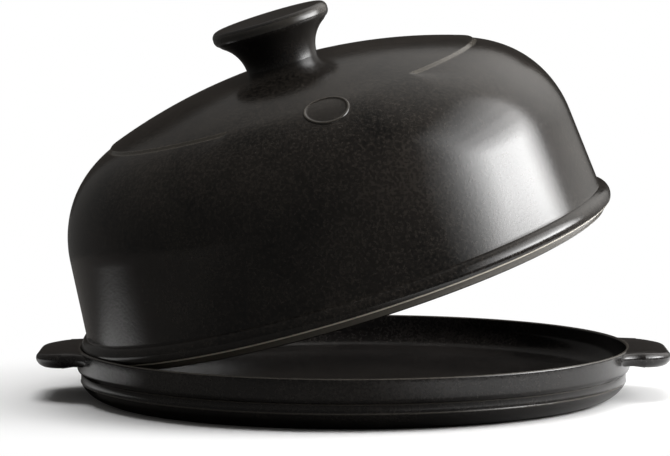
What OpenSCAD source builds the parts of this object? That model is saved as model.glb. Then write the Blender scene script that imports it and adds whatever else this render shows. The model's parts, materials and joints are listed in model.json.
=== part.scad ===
// Bread cloche: a shallow round baking plate with two lug handles and a domed lid
// with a turned knob, both in glazed ceramic. The lid is drawn propped ajar.
// Millimetres. +Z is up, z = 0 is the table, the origin is the centre of the plate's foot.
// The two lugs stand out along X. The lid is lifted on its +X side.

/* [Plate] */
// Largest outer radius of the plate's wall
plate_r = 142.5; // [130:0.5:155]
// Height of the plate's lip above the table
plate_h = 25.9; // [24:0.1:28]
// Thickness of the lip
lip_t = 2.1; // [1.9:0.1:2.4]
// Thickness of the baking floor above the foot recess
floor_t = 7; // [6:0.1:7.4]
// Depth of the recess inside the foot ring
foot_recess = 1.5; // [1:0.1:2]
// Width of the unglazed foot ring
foot_w = 12; // [8:0.5:16]
// Depth of the shallow groove round the wall
groove_d = 0.9; // [0.5:0.1:1.2]

/* [Lug handles] */
// How far a lug stands out past the wall
lug_reach = 20.3; // [14:0.1:24]
// Width of a lug
lug_w = 73; // [56:1:84]
// Thickness of a lug
lug_t = 7.4; // [6:0.1:8]
// Radius of a lug's two outer corners in plan
lug_corner = 22; // [14:0.5:24]
// Radius of the hollow where a lug runs into the wall
lug_hollow = 14; // [8:0.5:16]
// Drop of the finger lip under a lug's tip
lug_lip = 1; // [0.6:0.1:1.4]

/* [Lid] */
// How much smaller the flange's radius is than the plate's
flange_less = 0.6; // [0.4:0.1:0.8]
// Height of the dome's crown above the flange's underside
crown_h = 114.7; // [108:0.1:120]
// Radius of the shallow crown arc
crown_r = 290; // [280:1:320]
// Radius of the shoulder arc
shoulder_r = 58; // [54:0.5:62]
// Slope of the lid's wall from upright, in degrees
wall_draft = 5.2; // [4:0.1:6]
// Thickness of the lid's wall
lid_t = 7; // [6.4:0.1:7.2]
// Depth of the skirt that hangs inside the plate's lip
skirt_d = 3.9; // [3:0.1:4.2]
// Height of the step where the crown stands over the shoulder
step_d = 0.9; // [0.5:0.1:1.1]
// Radius of that step
step_r = 96.5; // [92:0.5:98]
// Half the angle over which the step is left out in front
step_gap = 29; // [26:1:34]

/* [Knob] */
// Radius of the knob's head
knob_r = 30.5; // [26:0.5:33]
// Radius of the knob's neck
neck_r = 18.6; // [16:0.1:20]
// Height of the knob above the crown
knob_h = 24; // [20:0.5:28]
// Radius of the hollow under the head
knob_hollow = 18.5; // [17:0.5:19]

/* [Blank medallion] */
// Radius of the round medallion on the lid's shoulder
badge_r = 11.6; // [9:0.1:13]
// How far its raised edge stands out
badge_lift = 0.7; // [0.5:0.1:0.9]
// Width of its raised edge
badge_edge = 1.5; // [1:0.1:2]

/* [Lid pose] */
// How far the lid is propped open, in degrees
lid_open = 17.2; // [0:0.1:52]
// Direction towards which the lid is lifted, in degrees from +X
lid_yaw = 12.5; // [-20:0.5:20]
// Gap between the closed flange and the plate's lip
seat_gap = 0.2; // [0.15:0.01:0.3]
// Play between the lowered edge of the flange and the plate's rounded lip
seat_play = 0.4; // [0.3:0.05:1.7]
// How far inside the plate's radius the chord lies on which the lid tips
tip_in = 20.2; // [19.6:0.1:21]
// Height of that chord above the closed flange's underside
tip_up = 2.9; // [2.4:0.1:3.4]
// Turn of the lid about its own axis, medallion in front at 0
lid_turn = 10; // [-60:1:60]

/* [Hidden] */
$fn = 96;
e = 0.01;

// Plate
lip_in = plate_r - lip_t;
lip_rr = lip_t / 2;
floor_z = floor_t + foot_recess;
bowl_rr = 12;
foot_out = plate_r - 12.1;
foot_in = foot_out - foot_w;

// Lug
lug_top = plate_h - 0.1;
lug_rr = lug_t / 2;
lug_x = plate_r + lug_reach;
root_x = plate_r - 22;
bead_r = 1.8;

// The hollows bite into wall and side, so that they meet both at an angle
web_bite = 0.9;
web_drop = 1.4;

flange_r = plate_r - flange_less;

// The closed lid stands this far off centre, so that its lifted edge clears the lip
seat_shift = flange_r - lip_in - lip_rr / 2 + seat_play;

// Lid
flange_rr = 5.8;
flange_c = [flange_r - flange_rr, 3.2];
wall_foot = flange_r - 3.6;
crown_cz = crown_h - crown_r;
draft_t = tan(wall_draft);
sh_x0 = wall_foot - shoulder_r / cos(wall_draft);
qa = 1 + draft_t * draft_t;
qb = -2 * (sh_x0 * draft_t + crown_cz);
qc = sh_x0 * sh_x0 + crown_cz * crown_cz - pow(crown_r - shoulder_r, 2);
sh_cz = (-qb + sqrt(qb * qb - 4 * qa * qc)) / (2 * qa);
sh_cx = sh_x0 - sh_cz * draft_t;
meet_a = atan(sh_cx / (sh_cz - crown_cz));
skirt_out = lip_in - seat_shift - 0.35;

// Knob
head_z = crown_h + knob_h - 4.2;

// Place of the medallion: on the shoulder arc, square to it
badge_a = 26.6;
badge_x = sh_cx + shoulder_r * sin(badge_a);
badge_z = sh_cz + shoulder_r * cos(badge_a);

// Seat: the closed lid tips on the chord at tip_r, tip_up above its flange
tip_r = plate_r - tip_in;
seat_z = plate_h + seat_gap;
tip_axis = [sin(lid_yaw), -cos(lid_yaw), 0];

function arc(c, r, a0, a1, n) =
    [for (i = [0 : n]) let (a = a0 + (a1 - a0) * i / n) [c[0] + r * cos(a), c[1] + r * sin(a)]];

// A point of a plan at radius r and angle a
function polar(r, a) = [r * cos(a), r * sin(a)];

// Section of the plate, foot and wall outside, bowl inside
module plate_section() {
    polygon(concat(
        [[0, foot_recess], [foot_in - 1.5, foot_recess], [foot_in, 0]],
        arc([foot_out - 0.6, 0.9], 0.9, -90, -48, 2),
        arc([plate_r - 16.3, 15.9], 16.3, -60, -27, 7),
        [[plate_r - 1.5 - groove_d, 9.2], [plate_r - 1.5 - groove_d, 12.6]],
        arc([plate_r - 2, 15.1], 2, -72, 0, 5),
        arc([plate_r - lip_rr, plate_h - lip_rr], lip_rr, 0, 180, 10),
        arc([lip_in - bowl_rr, floor_z + bowl_rr], bowl_rr, 0, -90, 12),
        [[0, floor_z]]
    ));
}

module base_plate() {
    color([0.16, 0.155, 0.15])
        rotate_extrude() plate_section();
}

// Section of a lug's rounded edge, w wide, its round side towards +X
module lug_edge(w) {
    polygon(concat(
        [[0, -lug_rr]],
        arc([w - lug_rr, 0], lug_rr, -82, 82, 9),
        [[0, lug_rr]]
    ));
}

// A straight stretch of that edge, len long towards +Y
module lug_side(w, len) {
    translate([0, len, 0])
        rotate([90, 0, 0])
            linear_extrude(len)
                lug_edge(w);
}

// The hollow beside a lug's root, from the wall to the lug's side
module lug_web(s) {
    cy = lug_w / 2 - web_bite + lug_hollow;
    cx = sqrt(pow(plate_r - web_bite + lug_hollow, 2) - cy * cy);
    out = plate_r - web_bite;
    side = atan(cy / cx);
    difference() {
        polygon([
            [root_x, 0],
            [cx, 0],
            [cx, s * cy],
            [out * cos(side), s * out * sin(side)],
            [root_x, s * out * sin(side)]
        ]);
        translate([cx, s * cy])
            circle(lug_hollow);
    }
}

// The low bead under a lug's edge that the fingers find
module lug_finger_lip() {
    in = lug_corner - 4.4;
    half = lug_w / 2 - lug_corner;
    translate([lug_x - lug_corner, 0, lug_top - lug_t + bead_r - lug_lip]) {
        translate([in, half, 0])
            rotate([90, 0, 0])
                cylinder(r = bead_r, h = 2 * half);
        for (m = [0, 1])
            mirror([0, m, 0])
                translate([0, half, 0])
                    rotate_extrude(angle = 70)
                        translate([in, 0])
                            circle(bead_r);
    }
}

// One lug towards +X, cut to the plate's wall
module lug() {
    half = lug_w / 2 - lug_corner;
    straight = lug_x - lug_corner - root_x;
    difference() {
        union() {
            translate([root_x, -half, lug_top - lug_t])
                cube([straight, 2 * half, lug_t]);
            translate([lug_x - lug_corner, -half, lug_top - lug_rr])
                lug_side(lug_corner, 2 * half);
            for (m = [0, 1])
                mirror([0, m, 0])
                    translate([lug_x - lug_corner, half, lug_top - lug_rr]) {
                        rotate(90)
                            lug_side(lug_corner, straight);
                        rotate_extrude(angle = 90)
                            lug_edge(lug_corner);
                    }
            translate([0, 0, lug_top - lug_t + web_drop])
                linear_extrude(lug_t - 2 * web_drop) {
                    lug_web(1);
                    lug_web(-1);
                }
            lug_finger_lip();
        }
        translate([0, 0, -e])
            cylinder(r = plate_r - lip_rr, h = plate_h + 1);
        rotate_extrude()
            plate_section();
    }
}

module right_handle() {
    color([0.17, 0.165, 0.16])
        lug();
}

module left_handle() {
    color([0.17, 0.165, 0.16])
        mirror([1, 0, 0])
            lug();
}

// Everything under the dome's outer face, inset by d, down to height low
module dome_half(d, low) {
    ro = crown_r - d;
    rs = shoulder_r - d;
    xt = ro * sin(meet_a);
    zt = crown_cz + ro * cos(meet_a);
    intersection() {
        translate([0, crown_cz]) circle(ro);
        translate([0, sh_cz]) square([xt, crown_h]);
    }
    intersection() {
        translate([sh_cx, sh_cz]) circle(rs);
        translate([sh_cx - 1, low]) square([shoulder_r + 2, crown_h]);
    }
    polygon([
        [0, low],
        [wall_foot - low * draft_t - d / cos(wall_draft), low],
        [sh_cx + rs * cos(wall_draft), sh_cz + rs * sin(wall_draft)],
        [sh_cx, sh_cz],
        [xt, zt],
        [0, zt]
    ]);
}

// The step: what is taken off the shoulder outside the crown
module step_cut() {
    difference() {
        translate([step_r, sh_cz + 12]) square([46, 50]);
        translate([sh_cx + 2.2, sh_cz]) circle(shoulder_r - 1.6 - step_d + 0.82);
    }
}

// Flange and skirt round the lid's foot
module rim_section() {
    polygon(concat(
        [[wall_foot - 12, 9.5], [wall_foot - 12, -skirt_d], [skirt_out - 3, -skirt_d]],
        arc([skirt_out - 2.9, 1.4 - skirt_d], 1.4, -80, -12, 4),
        [[skirt_out - 0.5, -0.5], [skirt_out, 0], [flange_r - 1.5, 0]],
        arc([flange_r - 1.6, 0.7], 0.7, -75, -40, 2),
        arc(flange_c, flange_rr, -26, 72, 12),
        [[wall_foot - 9.4 * draft_t + 0.15, 9.1], [wall_foot - 10 * draft_t, 10]]
    ));
}

module dome_section() {
    difference() {
        union() {
            dome_half(0, 5);
            rim_section();
        }
        dome_half(lid_t, -skirt_d - 1);
        polygon([
            [0, -skirt_d - 1],
            [wall_foot - lid_t + 2.2, -skirt_d - 1],
            [wall_foot - lid_t, 1.3 - skirt_d],
            [0, 1.3 - skirt_d]
        ]);
    }
}

// The lid's shell. Its medallion stands at -Y, where the step is left out
module dome_shell() {
    difference() {
        rotate_extrude()
            dome_section();
        rotate(-90 + step_gap)
            rotate_extrude(angle = 360 - 2 * step_gap)
                step_cut();
    }
}

module badge() {
    intersection() {
        rotate(-90)
            translate([badge_x, 0, badge_z])
                rotate([0, badge_a, 0])
                    difference() {
                        translate([0, 0, -4])
                            cylinder(r = badge_r, h = 10);
                        translate([0, 0, -5])
                            cylinder(r = badge_r - badge_edge, h = 12);
                    }
        rotate(-130)
            rotate_extrude(angle = 80)
                difference() {
                    dome_half(-badge_lift, 40);
                    dome_half(2, 30);
                }
    }
}

module lid_knob_own() {
    rotate_extrude()
        difference() {
            polygon(concat(
                [[0, crown_h - 4], [neck_r + 4, crown_h - 4], [knob_r - 3.9, head_z - 4]],
                arc([knob_r - 3.9, head_z - 0.1], 3.9, -88, 0, 6),
                arc([knob_r - 2.1, head_z + 2], 2.1, 0, 84, 4),
                [[0, crown_h + knob_h]]
            ));
            translate([neck_r + knob_hollow, crown_h - 0.7])
                circle(knob_hollow);
            translate([0, crown_cz])
                circle(crown_r);
        }
}

// Puts a piece of the lid where the lid stands on the plate
module seated() {
    translate([-tip_r * cos(lid_yaw), -tip_r * sin(lid_yaw), seat_z + tip_up])
        rotate(a = lid_open, v = tip_axis)
            translate([(tip_r + seat_shift) * cos(lid_yaw), (tip_r + seat_shift) * sin(lid_yaw), -tip_up])
                rotate(lid_turn)
                    children();
}

module lid_dome() {
    color([0.15, 0.145, 0.14])
        seated() {
            dome_shell();
            badge();
        }
}

module lid_knob() {
    color([0.13, 0.13, 0.13])
        seated()
            lid_knob_own();
}

base_plate();
left_handle();
right_handle();
lid_dome();
lid_knob();
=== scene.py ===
"""Dresses the bread cloche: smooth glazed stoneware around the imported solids, with its stage."""

import json
import math

import bmesh
import bpy
from mathutils import Matrix, Vector


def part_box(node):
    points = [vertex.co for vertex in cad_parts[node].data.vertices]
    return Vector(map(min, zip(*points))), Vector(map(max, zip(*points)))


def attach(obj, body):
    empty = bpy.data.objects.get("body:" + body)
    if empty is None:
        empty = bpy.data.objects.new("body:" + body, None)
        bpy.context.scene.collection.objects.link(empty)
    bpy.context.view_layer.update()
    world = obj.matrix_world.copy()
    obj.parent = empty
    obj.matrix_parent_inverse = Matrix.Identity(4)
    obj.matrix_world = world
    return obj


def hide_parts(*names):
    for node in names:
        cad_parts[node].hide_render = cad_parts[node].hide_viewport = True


bl_info = {
    "name": "Bread cloche",
    "version": (1, 0, 0),
    "blender": (4, 5, 0),
    "location": "3D View > Sidebar > Bread cloche",
    "description": "Builds a round stoneware bread cloche with its lid propped ajar",
    "category": "Add Mesh",
}

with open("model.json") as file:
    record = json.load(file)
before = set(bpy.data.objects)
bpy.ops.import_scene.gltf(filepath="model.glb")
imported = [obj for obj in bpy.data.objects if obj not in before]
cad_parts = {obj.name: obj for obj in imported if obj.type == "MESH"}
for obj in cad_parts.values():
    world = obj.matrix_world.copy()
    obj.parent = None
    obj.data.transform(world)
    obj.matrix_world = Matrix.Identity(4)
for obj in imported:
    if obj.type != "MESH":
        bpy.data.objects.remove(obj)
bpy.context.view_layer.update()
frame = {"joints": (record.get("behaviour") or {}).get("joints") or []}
MM = 0.001
PLATE_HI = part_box("base_plate")[1]
HINGE = frame["joints"][0]


# ---------------------------------------------------------------- sizes and colours

def size(name, words, default, low=0.0, high=1.0):
    """A length in metres that a user may change."""
    return bpy.props.FloatProperty(
        name=name, description=words, default=default, min=low, max=high,
        subtype="DISTANCE", unit="LENGTH", precision=5)


def angle(name, words, degrees):
    """An angle that a user may change, given in degrees."""
    return bpy.props.FloatProperty(
        name=name, description=words, default=math.radians(degrees),
        subtype="ANGLE", unit="ROTATION")


def colour(name, words, default):
    """A colour, kept as an sRGB hex value."""
    return bpy.props.StringProperty(name=name, description=words, default=default)


class PlateSizes(bpy.types.PropertyGroup):
    """Sizes of the baking plate and its lugs."""

    radius: size("Radius", "Largest radius of the plate's wall", PLATE_HI.x)
    height: size("Height", "Height of the lip above the table", PLATE_HI.z)
    lip: size("Lip", "Thickness of the lip", 2.1 * MM)
    floor: size("Floor", "Height of the baking floor", 8.5 * MM)
    foot_recess: size("Foot recess", "Depth of the recess inside the foot", 1.5 * MM)
    foot_width: size("Foot width", "Width of the foot ring", 12 * MM)
    foot_inset: size("Foot inset", "From the wall's radius to the foot", 12.1 * MM)
    bowl_round: size("Bowl round", "Radius between floor and wall", 12 * MM)
    groove: size("Groove", "Depth of the groove round the wall", 0.4 * MM)
    lug_reach: size("Lug reach", "How far a lug stands out", 20.3 * MM)
    lug_width: size("Lug width", "Width of a lug", 73 * MM)
    lug_thick: size("Lug thickness", "Thickness of a lug", 7.4 * MM)
    lug_corner: size("Lug corner", "Radius of a lug's outer corners", 22 * MM)
    lug_hollow: size("Lug hollow", "Radius of the hollow beside a lug", 14 * MM)
    lug_lip: size("Finger lip", "Drop of the lip under a lug's tip", 1.0 * MM)


class LidSizes(bpy.types.PropertyGroup):
    """Sizes of the domed lid and its knob."""

    flange: size("Flange", "Radius of the flange", 141.9 * MM)
    crown: size("Crown height", "Height of the crown above the flange", 114.7 * MM)
    crown_round: size("Crown radius", "Radius of the crown's arc", 290 * MM)
    shoulder: size("Shoulder radius", "Radius of the shoulder's arc", 58 * MM)
    draft: angle("Wall draft", "Slope of the wall from upright", 5.2)
    wall: size("Wall", "Thickness of the lid's wall", 7 * MM)
    skirt: size("Skirt", "Depth of the hanging skirt", 3.9 * MM)
    step: size("Step", "Height of the step round the crown", 0.9 * MM)
    step_radius: size("Step radius", "Radius of that step", 96.5 * MM)
    step_gap: angle("Step gap", "Half the angle without a step, in front", 29)
    knob: size("Knob radius", "Radius of the knob's head", 30.5 * MM)
    neck: size("Neck radius", "Radius of the knob's neck", 18.6 * MM)
    knob_height: size("Knob height", "Height of the knob above the crown", 24 * MM)
    knob_hollow: size("Knob hollow", "Radius of the hollow under the head", 18.5 * MM)
    badge: size("Medallion radius", "Radius of the blank medallion", 11.6 * MM)
    badge_lift: size("Medallion lift", "How far its rim stands out", 0.7 * MM)
    badge_rim: size("Medallion rim", "Width of its rim", 1.5 * MM)


class GlazeColours(bpy.types.PropertyGroup):
    """Colours of the glaze, the body and the stage, as sRGB hex."""

    dome: colour("Dome", "Charcoal glaze on the dome", "0b0a09")
    dome_break: colour("Dome break", "Where the glaze thins to brown", "2e2a26")
    plate: colour("Plate", "Charcoal glaze on the plate", "0e0d0d")
    plate_break: colour("Plate break", "Where the plate's glaze thins", "302d2b")
    # this pale colour is also painted along edges as highlight lines
    edge: colour("Worn edge", "Pale body showing where glaze drew off an edge", "d2cabb")
    # a lighter copy of the dark glaze, which lifts the shade on the neck under the head: painted
    # light
    knob: colour("Knob", "Glaze on the knob", "1b1b1b")
    foot: colour("Foot", "Bare fired body at the foot", "6e655c")
    floor: colour("Floor", "Studio floor, as the camera sees it", "f6f6f6")
    table: colour("Table", "The same floor as the glaze mirrors it, where dim", "5a5856")
    backdrop: colour("Backdrop", "Studio backdrop in reflections", "68635f")


# ---------------------------------------------------------------- materials

# Stoneware is a grainy body under a glassy glaze. To the eye it is near black with a brown cast,
# glossy and faintly mottled, and pale where the molten glaze drew off an edge. Thinner pale
# lines along its other edges are painted highlights.
# The glaze clouds where the dip ran thicker, and the wheel leaves slow swells in the surface.
CLOUD, SWELL = 38 * MM, 22 * MM
SWELL_DEPTH, GRAIN_DEPTH = 0.35 * MM, 0.12 * MM
GLASS_IOR = 1.52

# For each piece: roughness, grain in millimetres, most of the break colour, strength of the
# grain's relief. Real specks are a few tenths of a millimetre. They are drawn coarser, 1.2 to
# 1.6 mm on the glazed pieces, because finer ones don't show in the render.
FINISHES = {
    "plate": (0.17, 1.6, 0.7, 0.3),
    "foot": (0.8, 0.5, 0.3, 0.6),
    "lugs": (0.18, 1.4, 0.7, 0.35),
    "dome": (0.15, 1.6, 0.75, 0.3),
    "medallion": (0.15, 1.2, 0.6, 0.25),
    "knob": (0.2, 1.2, 0.6, 0.25),
}

# How far the pale edge colour shows, from 0 for full glaze to 1 for none: bare body and a
# painted highlight line at the flange, painted highlight lines on lip, groove, skirt, step,
# medallion and knob
WEAR_AND_HIGHLIGHT = {"lip": 0.08, "groove": 0.07, "flange": 1.0, "skirt": 0.12, "step": 0.07,
        "medallion": 0.05, "knob": 0.03}

WHITE = "ffffff"

# The table as the glaze mirrors it, in metres, with light painted on it. It turns pale to the
# right between two values of x, and in one round spot at the left: painted pools of light. The
# spot's image is the streak low on the dome's left side.
PAINTED_LIGHT_RIGHT = (0.02, 0.24)
PAINTED_LIGHT_SPOT, SPOT_EDGE, SPOT_CORE = (-0.26, 0.015, 0), 0.11, 0.045

# To the camera the floor turns from shaded paper to plain white between these distances from
# the middle of the stage
PAPER_FADE = (0.15, 0.27)


def srgb(text):
    """An sRGB hex value as linear RGBA."""
    parts = [int(text[i:i + 2], 16) / 255 for i in (0, 2, 4)]
    return tuple(c / 12.92 if c <= 0.04045 else ((c + 0.055) / 1.055) ** 2.4
                 for c in parts) + (1,)


def add(tree, kind, values=None, links=None, **settings):
    """Adds one node, with its settings, its inputs' values and its incoming links."""
    node = tree.nodes.new(kind)
    for key, value in settings.items():
        setattr(node, key, value)
    for key, value in (values or {}).items():
        node.inputs[key].default_value = value
    for key, source in (links or {}).items():
        tree.links.new(source, node.inputs[key])
    return node


def bare_tree(owner):
    """The empty node tree of a new material or world."""
    owner.use_nodes = True
    owner.node_tree.nodes.clear()
    return owner.node_tree


def glaze(name, base, thin, edge, finish):
    """Glazed stoneware: dark glossy glass over a grainy body, drawn thin over its edges, and pale
    along them where the mesh marks bare body or a painted highlight.
    """
    roughness, grain_mm, grain_share, relief = FINISHES[finish]
    material = bpy.data.materials.new(name)
    tree = bare_tree(material)
    point = add(tree, "ShaderNodeTexCoord").outputs["Object"]
    cloud = add(tree, "ShaderNodeTexNoise", {"Scale": 1 / CLOUD, "Detail": 4.0, "Roughness": 0.55},
                {"Vector": point})
    grain = add(tree, "ShaderNodeTexNoise",
                {"Scale": 1 / (grain_mm * MM), "Detail": 3.0, "Roughness": 0.6},
                {"Vector": point})
    waves = add(tree, "ShaderNodeTexNoise", {"Scale": 1 / SWELL, "Detail": 2.0},
                {"Vector": point})

    # the colour: specks and clouds of the break colour, then the pale edge colour where the mesh
    # marks bare body or a painted highlight line
    speck = add(tree, "ShaderNodeMapRange",
                {"From Min": 0.42, "From Max": 0.72, "To Max": grain_share},
                {"Value": grain.outputs["Fac"]})
    drift = add(tree, "ShaderNodeMapRange", {"From Min": 0.35, "From Max": 0.75, "To Max": 0.55},
                {"Value": cloud.outputs["Fac"]})
    amount = add(tree, "ShaderNodeMath", None,
                 {0: speck.outputs["Result"], 1: drift.outputs["Result"]},
                 operation="ADD", use_clamp=True)
    mottled = add(tree, "ShaderNodeMix", {6: srgb(base), 7: srgb(thin)},
                  {"Factor": amount.outputs["Value"]}, data_type="RGBA")
    worn_and_highlit = add(tree, "ShaderNodeAttribute", attribute_name="thin_glaze_and_highlight")
    bared_and_highlit = add(tree, "ShaderNodeMix", {7: srgb(edge)},
                {"Factor": worn_and_highlit.outputs["Fac"], 6: mottled.outputs[2]}, data_type="RGBA")

    # the gloss: a little rougher on the grain, over the wheel's swells
    rough = add(tree, "ShaderNodeMapRange",
                {"To Min": roughness - 0.04, "To Max": roughness + 0.07},
                {"Value": grain.outputs["Fac"]})
    swell = add(tree, "ShaderNodeBump", {"Strength": 0.12, "Distance": SWELL_DEPTH},
                {"Height": waves.outputs["Fac"]})
    skin_bump = add(tree, "ShaderNodeBump", {"Strength": relief, "Distance": GRAIN_DEPTH},
                    {"Height": grain.outputs["Fac"], "Normal": swell.outputs["Normal"]})
    shader = add(tree, "ShaderNodeBsdfPrincipled", {"IOR": GLASS_IOR, "Metallic": 0.0},
                 {"Base Color": bared_and_highlit.outputs[2], "Roughness": rough.outputs["Result"],
                  "Normal": skin_bump.outputs["Normal"]})
    add(tree, "ShaderNodeOutputMaterial", None, {"Surface": shader.outputs["BSDF"]})
    return material


def paper_floor(name, base, table):
    """Matt paper: pale to the camera with the object's shadow, and white further off.

    The glaze mirrors a dimmer table, with painted pools of light as given above.
    """
    material = bpy.data.materials.new(name)
    tree = bare_tree(material)
    ray = add(tree, "ShaderNodeLightPath")
    place = add(tree, "ShaderNodeTexCoord").outputs["Object"]
    side = add(tree, "ShaderNodeSeparateXYZ", None, {"Vector": place})
    # painted light on the table, seen only in reflections: pale to the right and in a round spot at
    # the left
    right = add(tree, "ShaderNodeMapRange",
                {"From Min": PAINTED_LIGHT_RIGHT[0], "From Max": PAINTED_LIGHT_RIGHT[1], "To Max": 1.0},
                {"Value": side.outputs["X"]}, interpolation_type="SMOOTHSTEP")
    to_painted_spot = add(tree, "ShaderNodeVectorMath", {1: PAINTED_LIGHT_SPOT}, {0: place}, operation="DISTANCE")
    left = add(tree, "ShaderNodeMapRange",
               {"From Min": SPOT_EDGE, "From Max": SPOT_CORE, "To Max": 1.0},
               {"Value": to_painted_spot.outputs["Value"]}, interpolation_type="SMOOTHSTEP")
    painted_light = add(tree, "ShaderNodeMath", None,
                {0: right.outputs["Result"], 1: left.outputs["Result"]}, operation="ADD")
    paper_and_painted_light = add(tree, "ShaderNodeMath", None,
               {0: painted_light.outputs["Value"], 1: ray.outputs["Is Camera Ray"]},
               operation="MAXIMUM")
    paint = add(tree, "ShaderNodeMix", {6: srgb(table), 7: srgb(base)},
                {"Factor": paper_and_painted_light.outputs["Value"]}, data_type="RGBA")
    paper = add(tree, "ShaderNodeBsdfDiffuse", {"Roughness": 0.5}, {"Color": paint.outputs[2]})
    glow = add(tree, "ShaderNodeEmission", {"Color": srgb(WHITE), "Strength": 1.0})
    reach = add(tree, "ShaderNodeVectorMath", None, {0: place}, operation="LENGTH")
    fade = add(tree, "ShaderNodeMapRange",
               {"From Min": PAPER_FADE[0], "From Max": PAPER_FADE[1], "To Min": 0.0},
               {"Value": reach.outputs["Value"]}, interpolation_type="SMOOTHSTEP")
    seen = add(tree, "ShaderNodeMath", None,
               {0: fade.outputs["Result"], 1: ray.outputs["Is Camera Ray"]},
               operation="MULTIPLY")
    mixed = add(tree, "ShaderNodeMixShader", None,
                {"Fac": seen.outputs["Value"], 1: paper.outputs["BSDF"],
                 2: glow.outputs["Emission"]})
    add(tree, "ShaderNodeOutputMaterial", None, {"Surface": mixed.outputs["Shader"]})
    return material


def white_backdrop(name, base):
    """Matt paper backdrop, white to the camera and plain paint to every other ray."""
    material = bpy.data.materials.new(name)
    tree = bare_tree(material)
    paint = add(tree, "ShaderNodeBsdfDiffuse", {"Color": srgb(base), "Roughness": 0.5})
    glow = add(tree, "ShaderNodeEmission", {"Color": srgb(WHITE), "Strength": 1.0})
    ray = add(tree, "ShaderNodeLightPath")
    mixed = add(tree, "ShaderNodeMixShader", None,
                {"Fac": ray.outputs["Is Camera Ray"], 1: paint.outputs["BSDF"],
                 2: glow.outputs["Emission"]})
    add(tree, "ShaderNodeOutputMaterial", None, {"Surface": mixed.outputs["Shader"]})
    return material


# ---------------------------------------------------------------- shapes

WHEEL = "thrown_on_a_wheel"
# The guide circle's radius: any will do, because each section is moved in by as much
WHEEL_R = 0.1
DOUBLES = 0.5e-6

# How the lid sits: the gap under its flange when closed, its play in the plate, and how far
# it is turned round, which brings the medallion to where the photograph shows it
SEAT_GAP, SEAT_PLAY = 0.2 * MM, 0.4 * MM
LID_TURN = math.radians(10)
# The dome's wall meets the table of its flange this far inside the flange's edge
WALL_INSET = 3.6 * MM


def smooth(t):
    """A soft ramp from 0 to 1."""
    t = max(0.0, min(1.0, t))
    return t * t * (3 - 2 * t)


def arc(cx, cz, radius, a0, a1, steps):
    """Points of an arc in a section, angles in degrees from +X."""
    turns = [math.radians(a0 + (a1 - a0) * i / steps) for i in range(steps + 1)]
    return [(cx + radius * math.cos(a), cz + radius * math.sin(a)) for a in turns]


def skin(mesh, rings, around=True):
    """Joins rings of points by faces; a ring of one point closes a pole.

    Without around, a ring is an open row, and its last point isn't joined to its first.
    """
    for low, high in zip(rings, rings[1:]):
        count = max(len(low), len(high))
        for i in range(count if around else count - 1):
            j = (i + 1) % count
            corners = (low[i % len(low)], low[j % len(low)],
                       high[j % len(high)], high[i % len(high)])
            mesh.faces.new(tuple(dict.fromkeys(corners)))


def wheel_tree():
    """Geometry Nodes tree that throws a piece from its section, as on a potter's wheel."""
    tree = bpy.data.node_groups.new(WHEEL, "GeometryNodeTree")
    face = tree.interface
    for name, kind in (("Section", "Geometry"), ("Wheel Radius", "Float"), ("Turns", "Int"),
                       ("Glaze", "Material")):
        face.new_socket(name, in_out="INPUT", socket_type="NodeSocket" + kind)
    face.new_socket("Piece", in_out="OUTPUT", socket_type="NodeSocketGeometry")
    given = add(tree, "NodeGroupInput")
    line = add(tree, "GeometryNodeMeshToCurve", None, {"Mesh": given.outputs["Section"]})
    path = add(tree, "GeometryNodeCurvePrimitiveCircle", None,
               {"Radius": given.outputs["Wheel Radius"], "Resolution": given.outputs["Turns"]})
    thrown = add(tree, "GeometryNodeCurveToMesh", None,
                 {"Curve": path.outputs["Curve"], "Profile Curve": line.outputs["Curve"]})
    closed = add(tree, "GeometryNodeMergeByDistance", {"Distance": 1e-6},
                 {"Geometry": thrown.outputs["Mesh"]})
    solid = add(tree, "GeometryNodeRealizeInstances", None,
                {"Geometry": closed.outputs["Geometry"]})
    dipped = add(tree, "GeometryNodeSetMaterial", None,
                 {"Geometry": solid.outputs["Geometry"], "Material": given.outputs["Glaze"]})
    done = add(tree, "NodeGroupOutput")
    tree.links.new(dipped.outputs["Geometry"], done.inputs["Piece"])
    return tree


def throw(name, points, turns, material, thin):
    """Throws a section of (radius, height) points.

    thin(radius, height) says how far the pale edge colour shows there, as painted highlight lines.
    """
    section = bpy.data.meshes.new(name + "_section")
    # the circle's frame turns a section upside down, so its heights go in negative
    section.from_pydata([(r - WHEEL_R, -z, 0) for r, z in points],
                        [(i, i + 1) for i in range(len(points) - 1)], [])
    worn_and_highlit = section.attributes.new("thin_glaze_and_highlight", "FLOAT", "POINT")
    for i, (r, z) in enumerate(points):
        worn_and_highlit.data[i].value = thin(r, z)
    holder = bpy.data.objects.new(name + "_section", section)
    bpy.context.scene.collection.objects.link(holder)
    tree = bpy.data.node_groups.get(WHEEL) or wheel_tree()
    modifier = holder.modifiers.new("wheel", "NODES")
    modifier.node_group = tree
    given = {item.name: item.identifier for item in tree.interface.items_tree
             if item.in_out == "INPUT"}
    modifier[given["Wheel Radius"]] = WHEEL_R
    modifier[given["Turns"]] = turns
    modifier[given["Glaze"]] = material
    graph = bpy.context.evaluated_depsgraph_get()
    result = bpy.data.meshes.new_from_object(holder.evaluated_get(graph), depsgraph=graph)
    holder.modifiers.clear()
    mesh = bmesh.new()
    mesh.from_mesh(result)
    bpy.data.objects.remove(holder)
    bpy.data.meshes.remove(result)
    bpy.data.meshes.remove(section)
    return mesh


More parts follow.
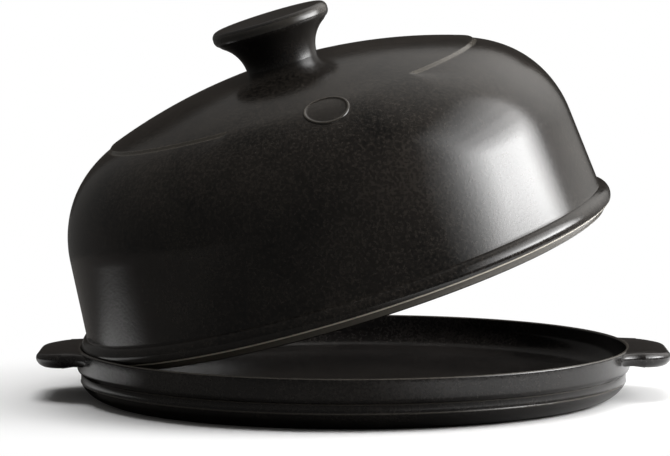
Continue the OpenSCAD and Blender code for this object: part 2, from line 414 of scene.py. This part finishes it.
def lid_place():
    """Turns and moves a piece from the lid's own axes to where the lid stands at rest."""
    plate = bpy.context.scene.cloche_plate
    lid = bpy.context.scene.cloche_lid
    pivot = Vector(HINGE["pos_m"])
    axis = Vector(HINGE["axis"])
    yaw = math.atan2(axis.x, -axis.y)
    tilt = math.radians(-HINGE["range_deg"][0])
    shift = lid.flange - (plate.radius - plate.lip) - plate.lip / 4 + SEAT_PLAY
    closed = Matrix.Translation((shift * math.cos(yaw), shift * math.sin(yaw),
                                 plate.height + SEAT_GAP))
    turn = Matrix.Rotation(LID_TURN, 4, "Z")
    return (Matrix.Translation(pivot) @ Matrix.Rotation(tilt, 4, axis)
            @ Matrix.Translation(-pivot) @ closed @ turn)


def finish_piece(mesh, name, body, material, nodes, place=None, sharp=40):
    """Cleans a mesh, gives it its material and lets it stand for its CAD nodes."""
    bmesh.ops.remove_doubles(mesh, verts=mesh.verts, dist=DOUBLES)
    bmesh.ops.recalc_face_normals(mesh, faces=mesh.faces)
    if place is not None:
        mesh.transform(place)
    data = bpy.data.meshes.new(name)
    mesh.to_mesh(data)
    mesh.free()
    data.materials.append(material)
    data.shade_smooth()
    data.set_sharp_from_angle(angle=math.radians(sharp))
    piece = bpy.data.objects.new(name, data)
    bpy.context.scene.collection.objects.link(piece)
    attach(piece, body)
    if nodes:
        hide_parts(*nodes)
    return piece


def dome_shape(lid):
    """The arcs that the dome's section is made of, from the lid's sizes, in metres.

    The shoulder's arc touches the crown's arc and the sloping wall, which gives its centre.
    """
    foot = lid.flange - WALL_INSET
    slope = math.tan(lid.draft)
    crown_z = lid.crown - lid.crown_round
    x0 = foot - lid.shoulder / math.cos(lid.draft)
    a = 1 + slope * slope
    b = -2 * (x0 * slope + crown_z)
    c = x0 * x0 + crown_z * crown_z - (lid.crown_round - lid.shoulder) ** 2
    shoulder_z = (-b + math.sqrt(b * b - 4 * a * c)) / (2 * a)
    shoulder_x = x0 - shoulder_z * slope
    meet = math.atan2(shoulder_x, shoulder_z - crown_z)
    return {"foot": foot, "slope": slope, "crown_z": crown_z, "shoulder_x": shoulder_x,
            "shoulder_z": shoulder_z, "meet": meet}


def dome_face(lid, shape, inset, low, crown_steps, shoulder_steps):
    """Section of a dome face, inset from the outside, from its crown down to height low."""
    points = []
    for i in range(crown_steps):
        a = shape["meet"] * i / crown_steps
        r = lid.crown_round - inset
        points.append((r * math.sin(a), shape["crown_z"] + r * math.cos(a)))
    for i in range(shoulder_steps + 1):
        a = shape["meet"] + (math.pi / 2 - lid.draft - shape["meet"]) * i / shoulder_steps
        r = lid.shoulder - inset
        points.append((shape["shoulder_x"] + r * math.sin(a),
                       shape["shoulder_z"] + r * math.cos(a)))
    points.append((shape["foot"] - low * shape["slope"] - inset / math.cos(lid.draft), low))
    return points


def off_dome(lid, shape, point):
    """Distance of a point from the dome's outer face, outwards positive."""
    radius = math.hypot(point.x, point.y)
    lean = math.atan2(radius, point.z - shape["crown_z"])
    if lean < shape["meet"]:
        return math.hypot(radius, point.z - shape["crown_z"]) - lid.crown_round
    return math.hypot(radius - shape["shoulder_x"], point.z - shape["shoulder_z"]) - lid.shoulder


# ---------------------------------------------------------------- pieces

class ClocheOperator(bpy.types.Operator):
    """Shared settings of the operators below."""

    bl_options = {"REGISTER", "UNDO"}


# The plate's wall in section, from the foot up: a round heel, a long curve, the groove between
# two soft edges, and a bulge that runs up into the upright part below the lip
HEEL_R = 0.9 * MM
CURVE_R, CURVE_Z = 16.3 * MM, 15.9 * MM
GROOVE_LOW, GROOVE_HIGH = 8.9 * MM, 13.0 * MM
GROOVE_EDGE, GROOVE_SOFT = 0.3 * MM, 0.12 * MM
BULGE_R, BULGE_Z = 3.2 * MM, 16.2 * MM
UPRIGHT_LOW, UPRIGHT_HIGH = 18.5 * MM, 22 * MM
# Where the lugs and the groove start, inside the wall's largest radius
WALL_ROOT = 1.6 * MM
PLATE_TURNS = 288


def plate_section(p, foot_out, groove):
    """The plate's section, from its underside out and over the lip to the baking floor."""
    lip = p.lip / 2
    foot_in = foot_out - p.foot_width
    section = [(0, p.foot_recess), (foot_in * 0.5, p.foot_recess),
               (foot_in - 1.5 * MM, p.foot_recess)]
    section += arc(foot_in + 0.5 * MM, 0.5 * MM, 0.5 * MM, 180, 270, 4)
    section += arc(foot_out - 0.6 * MM, HEEL_R, HEEL_R, -90, -48, 5)
    section += arc(p.radius - CURVE_R, CURVE_Z, CURVE_R, -60, -27, 16)
    section += [(groove + GROOVE_SOFT, GROOVE_LOW), (groove, GROOVE_LOW + GROOVE_EDGE),
                (groove, GROOVE_HIGH - GROOVE_EDGE), (groove + GROOVE_SOFT, GROOVE_HIGH)]
    section += arc(p.radius - BULGE_R, BULGE_Z, BULGE_R, -58, 0, 10)
    section += [(p.radius, UPRIGHT_LOW), (p.radius, UPRIGHT_HIGH)]
    section += arc(p.radius - lip, p.height - lip, lip, 0, 180, 14)
    section += arc(p.radius - p.lip - p.bowl_round, p.floor + p.bowl_round, p.bowl_round,
                   0, -90, 22)
    section += [(p.radius * 0.6, p.floor), (p.radius * 0.3, p.floor), (0, p.floor)]
    return section


class CLOCHE_OT_plate(ClocheOperator):
    """Builds the baking plate: foot ring, curved wall with a groove, thin rolled lip and bowl"""

    bl_idname = "cloche.plate"
    bl_label = "Baking plate"

    def execute(self, context):
        p = context.scene.cloche_plate
        c = context.scene.cloche_colours
        groove = p.radius - WALL_ROOT - p.groove
        section = plate_section(p, p.radius - p.foot_inset, groove)

        # faint painted highlight lines along the lip and both edges of the groove
        def thin(r, z):
            if z > p.height - 0.45 * MM:
                return WEAR_AND_HIGHLIGHT["lip"]
            near_low = abs(z - GROOVE_LOW + 0.15 * MM) < 0.3 * MM
            near_high = abs(z - GROOVE_HIGH - 0.2 * MM) < 0.35 * MM
            return WEAR_AND_HIGHLIGHT["groove"] if r > groove - MM and (near_low or near_high) else 0.0

        glazed = glaze("glazed_stoneware_plate", c.plate, c.plate_break, c.edge, "plate")
        mesh = throw("baking_plate", section, PLATE_TURNS, glazed, thin)
        piece = finish_piece(mesh, "baking_plate", "base", glazed, ["base_plate"])
        # the foot is left bare, as a potter wipes it before the kiln: pale brown and matt
        bare = glaze("bare_stoneware_foot", c.foot, c.foot, c.foot, "foot")
        piece.data.materials.append(bare)
        for face in piece.data.polygons:
            if face.center.z < 0.5 * MM:
                face.material_index = 1
        return {"FINISHED"}


# A lug droops by this much at its tip, and its top face falls by this much at its outline
LUG_DROOP, LUG_FALL = 0.7 * MM, 0.7 * MM
# The lug's broad faces start this far in from its outline
LUG_FLAT = 12 * MM


def lug_outline(p):
    """Plan of one lug towards +X, from wall to wall: points and outward normals."""
    half = p.lug_width / 2
    tip = p.radius + p.lug_reach
    hollow_y = half + p.lug_hollow
    hollow_x = math.sqrt((p.radius + p.lug_hollow) ** 2 - hollow_y ** 2)
    touch = math.atan2(hollow_y, hollow_x)
    side = []
    for i in range(15):
        a = touch + math.pi + (math.pi * 1.5 - touch - math.pi) * i / 14
        n = Vector((-math.cos(a), -math.sin(a), 0))
        side.append((Vector((hollow_x, hollow_y, 0)) - n * p.lug_hollow, n))
    corner = Vector((tip - p.lug_corner, half - p.lug_corner, 0))
    for i in range(19):
        a = math.pi / 2 * (1 - i / 18)
        n = Vector((math.cos(a), math.sin(a), 0))
        side.append((corner + n * p.lug_corner, n))
    flat = [(Vector((tip, (half - p.lug_corner) * (1 - 2 * i / 12), 0)), Vector((1, 0, 0)))
            for i in range(1, 12)]
    mirrored = [(Vector((v.x, -v.y, 0)), Vector((n.x, -n.y, 0))) for v, n in reversed(side)]
    return side + flat + mirrored


def lug_layers(r):
    """A lug's thickness from below: inset from its outline, height, and share of the lip's drop."""
    layers = [(LUG_FLAT, -r, 0.0), (8.5 * MM, -r, 0.05), (6.6 * MM, -r, 0.45),
              (5.4 * MM, -r, 0.9), (4.5 * MM, -r, 1.0), (3.6 * MM, -r * 0.98, 0.85)]
    for degrees in range(-70, 91, 10):
        a = math.radians(degrees)
        z = r * math.sin(a)
        sunk = LUG_FALL * z / r if z > 0 else 0.0
        layers.append((r * (1 - math.cos(a)), z - sunk, max(0, -degrees - 40) / 75))
    return layers + [(5.2 * MM, r - 0.42 * MM, 0), (7 * MM, r - 0.22 * MM, 0),
                     (9.5 * MM, r - 0.07 * MM, 0), (LUG_FLAT, r, 0)]


def lug_mesh(p, side):
    """One lug: a rounded slab that droops a little, with a lip for the fingers underneath."""
    outline = lug_outline(p)
    r = p.lug_thick / 2
    middle = p.height - 0.1 * MM - r
    root = p.radius - WALL_ROOT
    rings = []
    for inset, z, drop in lug_layers(r):
        ring = []
        for point, normal in outline:
            q = point - normal * inset
            if q.length < root:
                q = q * (root / q.length)
            out = smooth((math.hypot(q.x, q.y) - p.radius) / p.lug_reach)
            height = middle + z - drop * p.lug_lip * smooth(out * 2) - LUG_DROOP * out * out
            ring.append(Vector((q.x * side, q.y, height)))
        rings.append(ring)
    # both broad faces run on into the wall, where the lug ends
    ends = []
    for ring, z in ((rings[0], middle - r), (rings[-1], middle + r)):
        share = [root / math.hypot(q.x, q.y) for q in ring]
        ends.append([Vector((q.x * k, q.y * k, z)) for q, k in zip(ring, share)])
    mesh = bmesh.new()
    loops = [[mesh.verts.new(q) for q in ring] for ring in (ends[0], *rings, ends[1])]
    skin(mesh, loops + loops[:1], around=False)
    mesh.faces.new([loop[0] for loop in loops])
    mesh.faces.new([loop[-1] for loop in reversed(loops)])
    return mesh


class CLOCHE_OT_lugs(ClocheOperator):
    """Builds the two lug handles of the plate"""

    bl_idname = "cloche.lugs"
    bl_label = "Lug handles"

    def execute(self, context):
        p = context.scene.cloche_plate
        c = context.scene.cloche_colours
        glazed = glaze("glazed_stoneware_lugs", c.plate, c.plate_break, c.edge, "lugs")
        for side, name, node in ((-1, "left_lug", "left_handle"),
                                 (1, "right_lug", "right_handle")):
            finish_piece(lug_mesh(p, side), name, "base", glazed, [node])
        return {"FINISHED"}


# The step round the crown: where the section is cut, in millimetres from the step's radius, the
# width of its slope, and how far round the shoulder the face below it rises back to full height
STEP_CUTS = (-0.4, -0.12, 0.02, 0.2, 0.5, 0.9, 1.3, 1.7, 2.1, 2.5)
STEP_SLOPE = 1.9 * MM
STEP_FADE = math.sin(math.radians(62))
# Its ends run out over so many degrees at its edge, and so many more where it has faded. They
# start a little inside the gap in front.
STEP_END, STEP_SPREAD, STEP_LEAD = 1.0, 26, 0.25
# The pale band along its edge, a painted highlight, is this wide
STEP_BAND = 2.2 * MM
# Rings have points every 1.5 degrees, and closer ones where the step's ends run out
RING_DEGREES = 1.5
END_DEGREES = (-0.9, -0.5, -0.25, 0, 0.25, 0.5, 0.9)
# The dome's step lies well above this height, and its flange and skirt below it
STEP_FLOOR = 60 * MM
FLANGE_R, FLANGE_Z = 5.8 * MM, 3.2 * MM
SKIRT_INSET, SKIRT_R = 3.2 * MM, 1.4 * MM
DOME_SHARP = 32


def dome_sections(lid, shape):
    """Sections of the dome's outside, from crown to skirt, and of its inside, back up."""
    face = dome_face(lid, shape, 0, 10 * MM, 22, 44)
    edge = lid.step_radius
    outside = [q for q in face if q[0] < edge - 0.6 * MM]
    for off in STEP_CUTS:
        r = edge + off * MM
        rise = math.sqrt(lid.shoulder ** 2 - (r - shape["shoulder_x"]) ** 2)
        outside.append((r, shape["shoulder_z"] + rise))
    outside += [q for q in face if q[0] > edge + 3.0 * MM]
    outside += arc(lid.flange - FLANGE_R, FLANGE_Z, FLANGE_R, 72, -26, 22)
    outside += arc(lid.flange - 1.6 * MM, 0.7 * MM, 0.7 * MM, -40, -80, 4)
    skirt = lid.flange - SKIRT_INSET
    outside += [(skirt + 0.3 * MM, 0), (skirt, -0.05 * MM), (skirt - 0.4 * MM, -0.5 * MM)]
    outside += arc(skirt - 2.9 * MM, SKIRT_R - lid.skirt, SKIRT_R, -8, -90, 8)
    inside = dome_face(lid, shape, lid.wall, -1.6 * MM, 22, 36)
    foot = inside[-1][0]
    outside += [(foot + 1.6 * MM, -lid.skirt), (foot + 0.5 * MM, -lid.skirt + 0.6 * MM)]
    return outside, inside[::-1]


def dome_turns(lid):
    """The turns, in degrees from the front, at which every ring of the dome has a point."""
    stops = {i * RING_DEGREES for i in range(round(360 / RING_DEGREES))}
    for sign in (-1, 1):
        for extra in END_DEGREES:
            stops.add(round((sign * (math.degrees(lid.step_gap) + extra)) % 360, 4))
    return sorted(stops)


def step_fall(lid, shape, radius):
    """How far down the fading face below the step a radius lies, and how deep the face is there."""
    past = radius - lid.step_radius
    fades_out = shape["shoulder_x"] + lid.shoulder * STEP_FADE
    down = max(0.0, min(1.0, past / (fades_out - lid.step_radius)))
    return down, lid.step * (1 - smooth(down)) * smooth(past / STEP_SLOPE)


def step_shows(lid, down, turn):
    """How fully the step shows at a turn: not at all in front, then over its run-out."""
    past_end = min(turn, 360 - turn) - math.degrees(lid.step_gap)
    return smooth((past_end + STEP_LEAD) / (STEP_END + STEP_SPREAD * down))


def dome_wear_and_highlight(lid, radius, height, is_outside):
    """How far the pale edge colour shows on a ring of the dome, where the step shows fully: bare
    body and a painted highlight line at the flange, painted highlights on the skirt and along the
    step.
    """
    if is_outside and radius > lid.flange - 1.5 * MM and -0.1 * MM < height < 0.85 * MM:
        return WEAR_AND_HIGHLIGHT["flange"]
    if is_outside and radius > lid.flange - 5 * MM and height < -0.2 * MM:
        return WEAR_AND_HIGHLIGHT["skirt"]
    # the inside gets the painted highlight band as well, opposite the step
    if 0 < radius - lid.step_radius < STEP_BAND and height > STEP_FLOOR:
        return WEAR_AND_HIGHLIGHT["step"]
    return 0.0


class CLOCHE_OT_dome(ClocheOperator):
    """Builds the hollow dome with its step, convex flange and hanging skirt"""

    bl_idname = "cloche.dome"
    bl_label = "Domed lid"

    def execute(self, context):
        lid = context.scene.cloche_lid
        c = context.scene.cloche_colours
        shape = dome_shape(lid)
        outside, inside = dome_sections(lid, shape)
        turns = dome_turns(lid)
        mesh = bmesh.new()
        worn_and_highlit = mesh.verts.layers.float.new("thin_glaze_and_highlight")
        rings = []
        for k, (radius, height) in enumerate(outside + inside):
            if radius < 1e-7:
                rings.append([mesh.verts.new((0, 0, height))])
                continue
            is_outside = k < len(outside)
            by_step = radius > lid.step_radius and height > STEP_FLOOR
            down, sunk = step_fall(lid, shape, radius) if by_step else (0.0, 0.0)
            wear_and_highlight = dome_wear_and_highlight(lid, radius, height, is_outside)
            lean = math.atan2(radius - shape["shoulder_x"], height - shape["shoulder_z"])
            ring = []
            for turn in turns:
                shows = step_shows(lid, down, turn) if by_step else 1.0
                depth = sunk * shows if is_outside else 0.0
                a = math.radians(turn - 90)
                r = radius - depth * math.sin(lean)
                point = mesh.verts.new((r * math.cos(a), r * math.sin(a),
                                        height - depth * math.cos(lean)))
                point[worn_and_highlit] = wear_and_highlight * shows
                ring.append(point)
            rings.append(ring)
        skin(mesh, rings)
        glazed = glaze("glazed_stoneware_dome", c.dome, c.dome_break, c.edge, "dome")
        finish_piece(mesh, "domed_lid", "lid", glazed, ["lid_dome"],
                     lid_place(), DOME_SHARP)
        return {"FINISHED"}


# The medallion sits where the shoulder leans forward by this angle
BADGE_LEAN = math.radians(26.6)
BADGE_FLOOR = 0.16
BADGE_TURNS = 72


class CLOCHE_OT_medallion(ClocheOperator):
    """Builds the blank round medallion that follows the dome's shoulder"""

    bl_idname = "cloche.medallion"
    bl_label = "Blank medallion"

    def execute(self, context):
        lid = context.scene.cloche_lid
        c = context.scene.cloche_colours
        shape = dome_shape(lid)
        normal = Vector((0, -math.sin(BADGE_LEAN), math.cos(BADGE_LEAN)))
        across = Vector((1, 0, 0))
        along = normal.cross(across)
        seat = Vector((0, -(shape["shoulder_x"] + lid.shoulder * math.sin(BADGE_LEAN)),
                       shape["shoulder_z"] + lid.shoulder * math.cos(BADGE_LEAN)))
        rim_in = lid.badge - lid.badge_rim
        # radius, and share of the rim's lift: a flat floor, a rounded rim, a foot in the glaze
        profile = [(0.0, BADGE_FLOOR), (rim_in * 0.35, BADGE_FLOOR), (rim_in * 0.7, BADGE_FLOOR),
                   (rim_in - 0.9 * MM, BADGE_FLOOR), (rim_in - 0.3 * MM, 0.2),
                   (rim_in + 0.05 * MM, 0.5), (rim_in + 0.4 * MM, 0.92),
                   (lid.badge - 0.75 * MM, 1.0), (lid.badge - 0.4 * MM, 0.9),
                   (lid.badge - 0.1 * MM, 0.55), (lid.badge, 0.1), (lid.badge, -0.8)]
        mesh = bmesh.new()
        worn_and_highlit = mesh.verts.layers.float.new("thin_glaze_and_highlight")
        rings = []
        for radius, lift in profile:
            ring = []
            for i in range(1 if radius == 0 else BADGE_TURNS):
                a = 2 * math.pi * i / BADGE_TURNS
                point = seat + across * radius * math.cos(a) + along * radius * math.sin(a)
                # each point slides along the normal until it lies on the dome
                for _ in range(6):
                    point = point - normal * off_dome(lid, shape, point)
                ring.append(mesh.verts.new(point + normal * lift * lid.badge_lift))
                # a faint painted highlight along the top of the rim
                ring[-1][worn_and_highlit] = WEAR_AND_HIGHLIGHT["medallion"] if lift > 0.85 else 0.0
            rings.append(ring)
        skin(mesh, rings)
        mesh.faces.new(rings[-1])
        glazed = glaze("glazed_stoneware_medallion", c.dome, c.dome_break, c.edge, "medallion")
        finish_piece(mesh, "blank_medallion", "lid", glazed, [], lid_place())
        return {"FINISHED"}


# The knob's foot goes this far into the crown, and its head is this thick at the edge
KNOB_SUNK, HEAD_THICK = 3 * MM, 4.2 * MM
UNDER_R, OVER_R = 3.9 * MM, 3.4 * MM
KNOB_TURNS = 144


class CLOCHE_OT_knob(ClocheOperator):
    """Builds the turned knob with its waisted neck"""

    bl_idname = "cloche.knob"
    bl_label = "Knob"

    def execute(self, context):
        lid = context.scene.cloche_lid
        c = context.scene.cloche_colours
        top = lid.crown + lid.knob_height
        head = top - HEAD_THICK
        section = [(0, lid.crown - KNOB_SUNK), (lid.neck + 1.2 * MM, lid.crown - KNOB_SUNK)]
        hollow = arc(lid.neck + lid.knob_hollow, lid.crown - 0.7 * MM, lid.knob_hollow,
                     184, 112, 20)
        section += [q for q in hollow if q[0] < lid.knob - 3 * MM]
        section += arc(lid.knob - UNDER_R, head - 0.1 * MM, UNDER_R, -62, 0, 10)
        section += arc(lid.knob - OVER_R, head + 0.9 * MM, OVER_R, 6, 82, 10)
        section += [(lid.knob * 0.7, top - 0.12 * MM), (lid.knob * 0.4, top - 0.02 * MM), (0, top)]

        # a faint painted highlight along the head's rim
        def thin(r, z):
            at_rim = r > lid.knob - 0.45 * MM and z > head - 0.6 * MM
            return WEAR_AND_HIGHLIGHT["knob"] if at_rim else 0.0

        glazed = glaze("glazed_stoneware_knob", c.knob, c.dome_break, c.edge, "knob")
        mesh = throw("turned_knob", section, KNOB_TURNS, glazed, thin)
        finish_piece(mesh, "turned_knob", "lid", glazed, ["lid_knob"], lid_place())
        return {"FINISHED"}


# ---------------------------------------------------------------- stage

# The camera found from the photograph, in millimetres and radians
CAMERA_PLACE = (0.0, -1798.185, 237.106)
CAMERA_YAW, CAMERA_PITCH, CAMERA_ROLL = -0.0052, 0.0837, -0.0022
CAMERA_LENS, CAMERA_SENSOR = 188.06, 36.0

# The rest of the stage is in metres
FLOOR_R, FLOOR_DROP = 0.55, 0.2 * MM
BACKDROP_Y, BACKDROP_HALF, BACKDROP_TOP = 3, 1.2, 1.5

# The room is dim to the left and in front, and a paler grey towards one side: to the right,
# behind and above
ROOM_COLOUR = "fffcf8"
ROOM_SIDE = (0.55, 0.55, 0.63)
ROOM_FOCUS, ROOM_PALE, ROOM_DIM = 6.0, 1.3, 0.09

# A tall softbox to the right is mirrored on the dome's side. It is built of nested panels, so
# that it is brightest low down and beside the object: near edge, far edge, top edge, and the
# radiance that each adds. They stand a little behind one another, because lamps in one plane
# don't add up in a mirror image. All share a lower edge, which ends the image crisply.
KEY_PANELS = ((-1.0, 0.36, 1.8, 0.6), (-0.8, 0.355, 1.5, 0.7), (-0.7, 0.35, 1.25, 0.8),
              (-0.62, 0.33, 1.05, 1.1), (-0.54, 0.29, 0.8, 2.0), (-0.45, 0.23, 0.62, 3.3),
              (-0.36, 0.17, 0.52, 3.8), (-0.26, 0.12, 0.46, 3.6))
KEY_X, KEY_STAGGER, KEY_LOW = 0.92, 0.005, 0.29

# The overhead light is a wide bounce with no image of its own in the glaze
BOUNCE_PLACE, BOUNCE_WIDE, BOUNCE_WATTS = (-0.1, 0.1, 2.2), 1.6, 40


def flat_sheet(name, corners, material):
    """One flat sheet of the stage."""
    mesh = bmesh.new()
    mesh.faces.new([mesh.verts.new(corner) for corner in corners])
    data = bpy.data.meshes.new(name)
    mesh.to_mesh(data)
    mesh.free()
    data.materials.append(material)
    sheet = bpy.data.objects.new(name, data)
    bpy.context.scene.collection.objects.link(sheet)
    return sheet


def softbox(name, place, target, width, height, power):
    """A rectangular soft lamp that faces a point."""
    data = bpy.data.lights.new(name, "AREA")
    data.shape = "RECTANGLE"
    data.size, data.size_y, data.energy = width, height, power
    lamp = bpy.data.objects.new(name, data)
    bpy.context.scene.collection.objects.link(lamp)
    lamp.location = place
    toward = Vector(target) - Vector(place)
    lamp.rotation_euler = toward.to_track_quat("-Z", "Y").to_euler()
    return lamp


def key_light():
    """The tall softbox at the right, as upright panels that face the object."""
    for i, (near, far, top, radiance) in enumerate(KEY_PANELS):
        y, z = (near + far) / 2, (KEY_LOW + top) / 2
        wide, high = far - near, top - KEY_LOW
        # a lamp's radiance is its power over pi and its area
        softbox("key_panel_%d" % i, (KEY_X - KEY_STAGGER * i, y, z), (0, y, z), wide, high,
                math.pi * radiance * wide * high)


def studio_air():
    """The room's light: white to the camera, and dim with one paler side to the glaze."""
    world = bpy.data.worlds.new("studio_air")
    tree = bare_tree(world)
    ray = add(tree, "ShaderNodeLightPath")
    way = add(tree, "ShaderNodeTexCoord")
    toward = add(tree, "ShaderNodeVectorMath", {1: ROOM_SIDE}, {0: way.outputs["Generated"]},
                 operation="DOT_PRODUCT")
    front = add(tree, "ShaderNodeMath", {1: 0.0}, {0: toward.outputs["Value"]},
                operation="MAXIMUM")
    steep = add(tree, "ShaderNodeMath", {1: ROOM_FOCUS}, {0: front.outputs["Value"]},
                operation="POWER")
    glow = add(tree, "ShaderNodeMath", {1: ROOM_PALE, 2: ROOM_DIM}, {0: steep.outputs["Value"]},
               operation="MULTIPLY_ADD")
    air = add(tree, "ShaderNodeBackground", {"Color": srgb(ROOM_COLOUR)},
              {"Strength": glow.outputs["Value"]})
    white = add(tree, "ShaderNodeBackground", {"Color": srgb(WHITE), "Strength": 1.0})
    seen = add(tree, "ShaderNodeMixShader", None,
               {"Fac": ray.outputs["Is Camera Ray"], 1: air.outputs["Background"],
                2: white.outputs["Background"]})
    add(tree, "ShaderNodeOutputWorld", None, {"Surface": seen.outputs["Shader"]})
    return world


def photo_camera():
    """The camera at the photograph's viewing angle."""
    data = bpy.data.cameras.new("photo_camera")
    data.lens, data.sensor_width = CAMERA_LENS, CAMERA_SENSOR
    data.clip_start, data.clip_end = 0.05, 60
    camera = bpy.data.objects.new("photo_camera", data)
    bpy.context.scene.collection.objects.link(camera)
    cy, sy = math.cos(CAMERA_YAW), math.sin(CAMERA_YAW)
    cp, sp = math.cos(CAMERA_PITCH), math.sin(CAMERA_PITCH)
    forward = Vector((sy * cp, cy * cp, -sp))
    right = Vector((cy, -sy, 0))
    up = right.cross(forward)
    right_rolled = right * math.cos(CAMERA_ROLL) + up * math.sin(CAMERA_ROLL)
    up_rolled = up * math.cos(CAMERA_ROLL) - right * math.sin(CAMERA_ROLL)
    turn = Matrix((right_rolled, up_rolled, -forward)).transposed().to_4x4()
    camera.matrix_world = Matrix.Translation(Vector(CAMERA_PLACE) * MM) @ turn
    return camera


class CLOCHE_OT_stage(ClocheOperator):
    """Builds the pale floor, the backdrop, the lamps and the camera"""

    bl_idname = "cloche.stage"
    bl_label = "Stage"

    def execute(self, context):
        scene = context.scene
        c = scene.cloche_colours
        scene.view_settings.view_transform = "Standard"
        rim = [(FLOOR_R * math.cos(math.radians(a)), FLOOR_R * math.sin(math.radians(a)),
                -FLOOR_DROP) for a in range(0, 360, 5)]
        floor = flat_sheet("studio_floor", rim, paper_floor("matt_paper_floor_painted_light", c.floor, c.table))
        corners = [(x * BACKDROP_HALF, BACKDROP_Y, z * BACKDROP_TOP)
                   for x, z in ((-1, 0), (1, 0), (1, 1), (-1, 1))]
        backdrop = flat_sheet("studio_backdrop", corners,
                              white_backdrop("matt_paper_backdrop", c.backdrop))
        scene.world = studio_air()
        key_light()
        bounce = softbox("overhead_bounce", BOUNCE_PLACE, (0, 0, 0), BOUNCE_WIDE, BOUNCE_WIDE,
                         BOUNCE_WATTS)
        bounce.visible_glossy = False
        scene.camera = photo_camera()
        return {"FINISHED"}


class CLOCHE_PT_panel(bpy.types.Panel):
    """Lists the pieces of the bread cloche"""

    bl_label = "Bread cloche"
    bl_idname = "CLOCHE_PT_panel"
    bl_space_type = "VIEW_3D"
    bl_region_type = "UI"
    bl_category = "Bread cloche"

    def draw(self, context):
        for operator in PIECES:
            self.layout.operator(operator.bl_idname)


GROUPS = {"cloche_plate": PlateSizes, "cloche_lid": LidSizes, "cloche_colours": GlazeColours}
PIECES = (CLOCHE_OT_plate, CLOCHE_OT_lugs, CLOCHE_OT_dome, CLOCHE_OT_medallion, CLOCHE_OT_knob,
          CLOCHE_OT_stage)


def register():
    for group in GROUPS.values():
        bpy.utils.register_class(group)
    for operator in PIECES:
        bpy.utils.register_class(operator)
    bpy.utils.register_class(CLOCHE_PT_panel)
    for name, group in GROUPS.items():
        setattr(bpy.types.Scene, name, bpy.props.PointerProperty(type=group))


def unregister():
    for name in GROUPS:
        delattr(bpy.types.Scene, name)
    bpy.utils.unregister_class(CLOCHE_PT_panel)
    for operator in reversed(PIECES):
        bpy.utils.unregister_class(operator)
    for group in reversed(list(GROUPS.values())):
        bpy.utils.unregister_class(group)


def main():
    """Registers the classes and builds every piece in order."""
    register()
    bpy.ops.cloche.plate()
    bpy.ops.cloche.lugs()
    bpy.ops.cloche.dome()
    bpy.ops.cloche.medallion()
    bpy.ops.cloche.knob()
    bpy.ops.cloche.stage()


if __name__ == "__main__":
    main()
